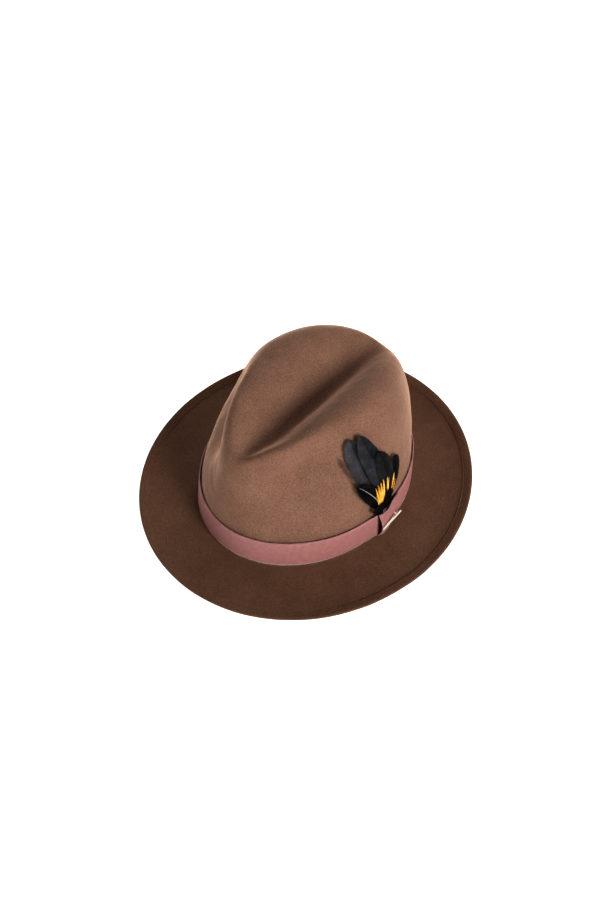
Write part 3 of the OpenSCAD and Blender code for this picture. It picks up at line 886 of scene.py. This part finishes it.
# ---- inside of the hat
SWEATBAND_HEIGHT = 0.034
SWEATBAND_THICKNESS = 0.0011
SWEATBAND_LOW = -0.0001
LINING_GAP = 0.0011
LINING_THICKNESS = 0.0005
LINING_LOW = 0.005
LINING_SEAM = 0.038
LINING_HEIGHT = 0.068
DOME_ROUND = 0.95
LINING_OUTER = -(FELT + LINING_GAP)
LINING_INNER = LINING_OUTER - LINING_THICKNESS
SWEATBAND_INNER = LINING_INNER - 0.0008 - SWEATBAND_THICKNESS
REED_RADIUS = 0.0007
REED_Z = -0.0012
BOW_HALF_WIDTH = 0.009
BOW_Z = 0.0115
BOW_HALF_HEIGHT = 0.0035
BOW_THICKNESS = 0.0009
TAB_ANGLES = (112, 120)
TAB_Z = (0.025, 0.0375)
AROUND = 360                      # points round the pieces inside the hat
SEAM_STITCHES = 170
OVERCAST_TURNS = 150
SATIN_HALF = 0.00014              # half the thickness of the drawn satin
PLEATS = (61, 74, 88, 97, 113)    # waves round the gathered side
PLEAT_DEPTH = 0.00022


def leather_material():
    material, tree, shader = new_material("sweatband_leather", 0.5, Coat_Weight=0.12,
                                          Coat_Roughness=0.35)
    place = object_place(tree)
    colour = ramp(tree, noise(tree, place, 130, 5, 0.6),
                  [(0.3, (0.110, 0.042, 0.018)), (0.55, (0.165, 0.068, 0.030)),
                   (0.8, (0.215, 0.098, 0.048))])
    tree.links.new(colour, shader.inputs["Base Color"])
    grain = node(tree, "ShaderNodeTexVoronoi")
    grain.inputs["Scale"].default_value = 1100
    tree.links.new(place, grain.inputs["Vector"])
    pores = bump(tree, grain.outputs["Distance"], 0.00015, 0.5)
    tree.links.new(bump(tree, noise(tree, place, 260, 3), 0.0003, 0.3, pores),
                   shader.inputs["Normal"])
    return material


def satin_material():
    return mottled("lining_satin", 0.32, (60, 4),
                   [(0.3, (0.070, 0.036, 0.024)), (0.7, (0.115, 0.062, 0.042))],
                   (1800, 2, 0.00006, 0.4), Sheen_Weight=0.25, Sheen_Roughness=0.3,
                   Sheen_Tint=(1, 0.8, 0.65, 1), Anisotropic=0.6)


def reed_material():
    return mottled("reed_plastic", 0.35, (200, 3),
                   [(0.3, (0.55, 0.50, 0.42)), (0.7, (0.66, 0.61, 0.52))])


def plate(inside, outside):
    """A closed skin over two matching grids of points."""
    m, n = inside.shape[:2]
    face = np.array(sheet_faces(m, n))
    faces = face[:, ::-1].tolist() + (face + m * n).tolist()
    rim = list(range(n)) + [i * n + n - 1 for i in range(1, m)]
    rim += [(m - 1) * n + j for j in range(n - 2, -1, -1)] + [i * n for i in range(m - 2, 0, -1)]
    for a, b in zip(rim, rim[1:] + rim[:1]):
        faces.append((a, b, b + m * n, a + m * n))
    return np.concatenate([inside.reshape(-1, 3), outside.reshape(-1, 3)]), faces


def stitches(name, starts, ends, radius, material):
    """Short raised threads, each from one point to another."""
    def swell(s):
        return radius * np.sqrt(np.maximum(0.05, 1 - (2 * s - 1) ** 4))

    def thread(a, b):
        return tube_along(lambda s: a + (b - a) * s[:, None], swell, 5, 6)

    points, faces = joined([thread(a, b) for a, b in zip(starts, ends)])
    make(name, points, faces, material, "hat")


def sweatband(leather, thread):
    theta = circle(AROUND)
    low, high = SWEATBAND_LOW, SWEATBAND_LOW + SWEATBAND_HEIGHT
    middle, half = SWEATBAND_INNER + SWEATBAND_THICKNESS / 2, SWEATBAND_THICKNESS / 2
    outline = [(z, middle - half) for z in np.linspace(low + half, high - half, 26)]
    outline += [(high - half + half * math.sin(a), middle - half * math.cos(a))
                for a in np.linspace(0, math.pi, 7)[1:-1]]
    outline += [(z, middle + half) for z in np.linspace(high - half, low + half, 12)]
    outline += [(low + half - half * math.sin(a), middle + half * math.cos(a))
                for a in np.linspace(0, math.pi, 7)[1:-1]]

    def sway(angle, z):
        share = max(0, (z - low) / SWEATBAND_HEIGHT)
        wave = np.sin(9 * angle + 0.7) + 0.6 * np.sin(17 * angle + 2.1)
        return 0.00014 * wave * share ** 2

    rings = np.array([wall(theta, z, off + sway(theta, z)) for z, off in outline])
    piece = make("sweatband_strip", rings, ring_faces(len(rings), AROUND, True), leather, "hat")
    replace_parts(piece, "sweatband")
    start = circle(SEAM_STITCHES)
    seam = high - 0.004
    inner = middle - half - 0.00006
    stitches("sweatband_stitches", wall(start, seam, inner), wall(start + 0.023, seam, inner),
             0.00016, thread)

    def overcast(s):
        a = 2 * math.pi * OVERCAST_TURNS * s
        z = REED_Z + 0.0009 + 0.0018 * np.cos(a)
        return wall(2 * math.pi * s, z, middle - 0.00095 * np.sin(a))

    points, faces = tube_along(overcast, lambda s: 0.00012, OVERCAST_TURNS * 16, 5)
    make("reed_stitches", points, faces, thread, "hat")


def sweatband_reed(material):
    theta = circle(AROUND)
    centre = SWEATBAND_INNER + SWEATBAND_THICKNESS / 2
    rings = np.array([wall(theta, REED_Z + REED_RADIUS * math.sin(b),
                           centre - REED_RADIUS * math.cos(b))
                      for b in circle(14)])
    piece = make("reed_cord", rings, ring_faces(len(rings), AROUND, True), material, "hat")
    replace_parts(piece, "sweatband_reed")


def sweatband_bow(leather):
    """A small flat bow at the back seam: two looped wings and a knot."""
    outer = SWEATBAND_INNER - CLEARANCE
    f_grid, g_grid = np.meshgrid(np.linspace(-1, 1, 61), np.linspace(-1, 1, 15))
    away = np.abs(f_grid)
    half = BOW_HALF_HEIGHT * (0.36 + 0.64 * smooth(0.05, 0.75, away))
    half = half * (1 - 0.18 * smooth(0.85, 1.0, away))
    z = BOW_Z + half * g_grid
    theta = math.pi / 2 + BOW_HALF_WIDTH / HEAD_HALF_WIDTH * f_grid
    pleat = 0.00022 * np.cos(4.5 * g_grid) * (1 - away) ** 0.5
    puff = 0.0008 * np.sin(math.pi * np.clip(away, 0, 1)) * (1 - g_grid ** 2)
    front = outer - BOW_THICKNESS * 0.7 - puff - pleat
    back = outer - 0.00005 + 0 * f_grid
    points, faces = plate(wall(theta, z, back), wall(theta, z, front))
    wings = make("bow_wings", points, faces, leather, "hat")
    z_knot, f_knot = np.meshgrid(np.linspace(-1, 1, 13), np.linspace(-1, 1, 21), indexing="ij")
    theta = math.pi / 2 + 0.0014 / HEAD_HALF_WIDTH * f_knot * (1 - 0.15 * z_knot ** 2)
    z = BOW_Z + 0.0019 * z_knot
    swell = 0.0007 * np.sqrt(np.maximum(0, 1 - f_knot ** 2)) * (1 - 0.3 * z_knot ** 2)
    points, faces = plate(wall(theta, z, outer - 0.0004 + 0 * z),
                          wall(theta, z, outer - BOW_THICKNESS - 0.0003 - swell))
    make("bow_knot", points, faces, leather, "hat")
    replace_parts(wings, "sweatband_bow")


def size_tab(material, thread):
    """A folded cloth tab between the lining and the sweatband, without any print."""
    theta, z = np.meshgrid(np.radians(np.linspace(*TAB_ANGLES, 25)), np.linspace(*TAB_Z, 21))
    share = (z - TAB_Z[0]) / (TAB_Z[1] - TAB_Z[0])
    bend = 0.0002 * np.sin(3 * theta * 40) * share
    inner = LINING_INNER - 0.00055 + bend
    points, faces = plate(wall(theta, z, inner + 0.0003), wall(theta, z, inner))
    piece = make("tab_cloth", points, faces, material, "hat")
    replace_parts(piece, "size_tab")
    edge = np.radians(np.linspace(TAB_ANGLES[0] + 0.7, TAB_ANGLES[1] - 1.3, 8))
    high = TAB_Z[1] - 0.0010
    off = LINING_INNER - 0.00060
    stitches("tab_stitches", wall(edge, high, off), wall(edge + 0.006, high, off), 0.00010,
             thread)


def lining_side(material):
    """The lining's side, gathered into small pleats under the sweatband."""
    theta = circle(900)
    rng = np.random.default_rng(31)
    wave = sum(rng.uniform(0.5, 1.0) * np.sin(k * theta + rng.uniform(0, 6.28)) for k in PLEATS)
    wave = wave / np.abs(wave).max()
    z = np.linspace(LINING_LOW, LINING_SEAM - 0.0001, 34)
    grow = PLEAT_DEPTH * (0.45 + 0.55 * (z - LINING_LOW) / (LINING_SEAM - LINING_LOW))
    middle = (LINING_OUTER + LINING_INNER) / 2
    out, back = ([wall(theta, zi, middle + gi * wave + side) for zi, gi in zip(z, grow)]
                 for side in (SATIN_HALF, -SATIN_HALF))
    rings = np.array(out + back[::-1])
    piece = make("lining_gathers", rings, ring_faces(len(rings), len(theta), True), material,
                 "hat")
    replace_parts(piece, "lining_side")


def lining_tip(material):
    """The lining's top: one oval piece, domed into the crown."""
    theta = circle(AROUND)
    ups = [math.pi / 2 * (1 - (i / 60) ** 1.4) for i in range(1, 61)]
    middle = (LINING_OUTER + LINING_INNER) / 2

    def dome(up, off):
        edge = block(theta, wall_up(LINING_SEAM), grow=middle)
        r = math.cos(up) ** DOME_ROUND
        rise = (LINING_HEIGHT - LINING_SEAM) * math.sin(up) ** 0.8
        fan = 0.00020 * np.sin(64 * theta) * (1 - math.sin(up)) ** 2
        p = np.stack([edge[..., 0] * r, edge[..., 1] * r,
                      np.full_like(theta, LINING_SEAM + 0.0001 + rise)], -1)
        p = dented(p)
        p[..., 2] += off + fan
        return p + [0, 0, BREAK_Z]

    top = [dome(up, SATIN_HALF) for up in ups]
    under = [dome(up, -SATIN_HALF) for up in ups][::-1]
    rings = np.array(top + under)
    peak = np.array([0, 0, LINING_HEIGHT + BREAK_Z])
    m, n = len(rings), len(theta)
    points = np.concatenate([rings.reshape(-1, 3), [peak + [0, 0, SATIN_HALF]],
                             [peak - [0, 0, SATIN_HALF]]])
    faces = ring_faces(m, n)
    for j in range(n):
        k = (j + 1) % n
        faces += [(m * n, k, j), (m * n + 1, (m - 1) * n + j, (m - 1) * n + k)]
    piece = make("lining_crown", points, faces, material, "hat")
    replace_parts(piece, "lining_tip")


def inside():
    leather, satin = leather_material(), satin_material()
    thread = cloth_material("brown_thread", (0.13, 0.075, 0.045), (0.20, 0.12, 0.075), 0.2)
    cloth = cloth_material("tab_cloth", (0.60, 0.56, 0.48), (0.72, 0.68, 0.60), 0.2)
    lining_side(satin)
    lining_tip(satin)
    sweatband(leather, thread)
    sweatband_reed(reed_material())
    sweatband_bow(leather)
    size_tab(cloth, thread)


# ---- stage, light, camera
FLOOR_HALF = 4.0
FLOOR_GAP = 0.0002


def floor():
    """A pale floor that glows a little, so that it comes out white as in the photograph."""
    stops = [(0.3, (0.34, 0.34, 0.34)), (0.7, (0.36, 0.36, 0.36))]
    material = mottled("floor", 0.9, (3, 2), stops, Emission_Color=(1, 1, 1, 1),
                       Emission_Strength=1.30)
    z = cad_box[0][2] - FLOOR_GAP
    corners = [(-1, -1), (1, -1), (1, 1), (-1, 1)]
    mesh = bpy.data.meshes.new("floor")
    mesh.from_pydata([(x * FLOOR_HALF, y * FLOOR_HALF, z) for x, y in corners], [],
                     [(0, 1, 2, 3)])
    piece = bpy.data.objects.new("floor", mesh)
    bpy.context.scene.collection.objects.link(piece)
    mesh.materials.append(material)


LAMP_SIZE = 0.8
LAMPS = [                         # name, place, watts, height it aims at
    ("key", (1.52, -0.265, 0.78), 33, 0.05),
    ("side", (0.8, 1.38, 0.63), 9, 0.05),
    ("back", (-0.77, 1.33, 0.77), 14, 0.05),
    ("left", (-1.6, 0.4, 0.25), 10, 0.07),
    ("front", (-0.14, -1.59, 0.63), 5.5, 0.05),
]
WORLD_STRENGTH = 0.08


def light():
    world = bpy.data.worlds.new("studio")
    bpy.context.scene.world = world
    world.use_nodes = True
    background = world.node_tree.nodes["Background"]
    background.inputs["Color"].default_value = (1.0, 1.0, 1.0, 1)
    background.inputs["Strength"].default_value = WORLD_STRENGTH
    for name, place, watts, aim in LAMPS:
        lamp = bpy.data.lights.new(name, "AREA")
        lamp.shape, lamp.size, lamp.energy = "DISK", LAMP_SIZE, watts
        held = bpy.data.objects.new(name, lamp)
        held.location = place
        held.rotation_mode = "QUATERNION"
        held.rotation_quaternion = (Vector((0, 0, aim)) - Vector(place)).to_track_quat("-Z", "Y")
        bpy.context.scene.collection.objects.link(held)


CAMERA_TURN, CAMERA_TILT = 43.2, 49.0    # degrees from the front, and above the ground
CAMERA_DISTANCE = 0.737
CAMERA_AIM = (-0.0172, 0.0097, 0.0152)
CAMERA_LENS, CAMERA_SENSOR = 32.72, 36.0


def camera():
    """The eye at the wearer's front left, looking down at the hat."""
    turn, tilt = math.radians(CAMERA_TURN), math.radians(CAMERA_TILT)
    back = Vector((math.sin(turn) * math.cos(tilt), -math.cos(turn) * math.cos(tilt),
                   math.sin(tilt)))
    data = bpy.data.cameras.new("eye")
    data.sensor_width, data.lens, data.clip_start = CAMERA_SENSOR, CAMERA_LENS, 0.01
    held = bpy.data.objects.new("eye", data)
    held.location = Vector(CAMERA_AIM) + back * CAMERA_DISTANCE
    held.rotation_mode = "QUATERNION"
    held.rotation_quaternion = back.to_track_quat("Z", "Y")
    bpy.context.scene.collection.objects.link(held)
    bpy.context.scene.camera = held


felt_body()
rose = grosgrain_material()
# painted shade: a dark ribbon cloth for the faces under the keeper
shadow = cloth_material("ribbon_painted_shade", (0.020, 0.005, 0.005), (0.045, 0.012, 0.011), 0.0)
ribbon_band(rose, shadow)
band_keeper(rose, shadow)
badge_bar(metal_material())
inside()
feather_spray()
floor()
light()
camera()
bpy.context.scene.view_settings.view_transform = "Standard"
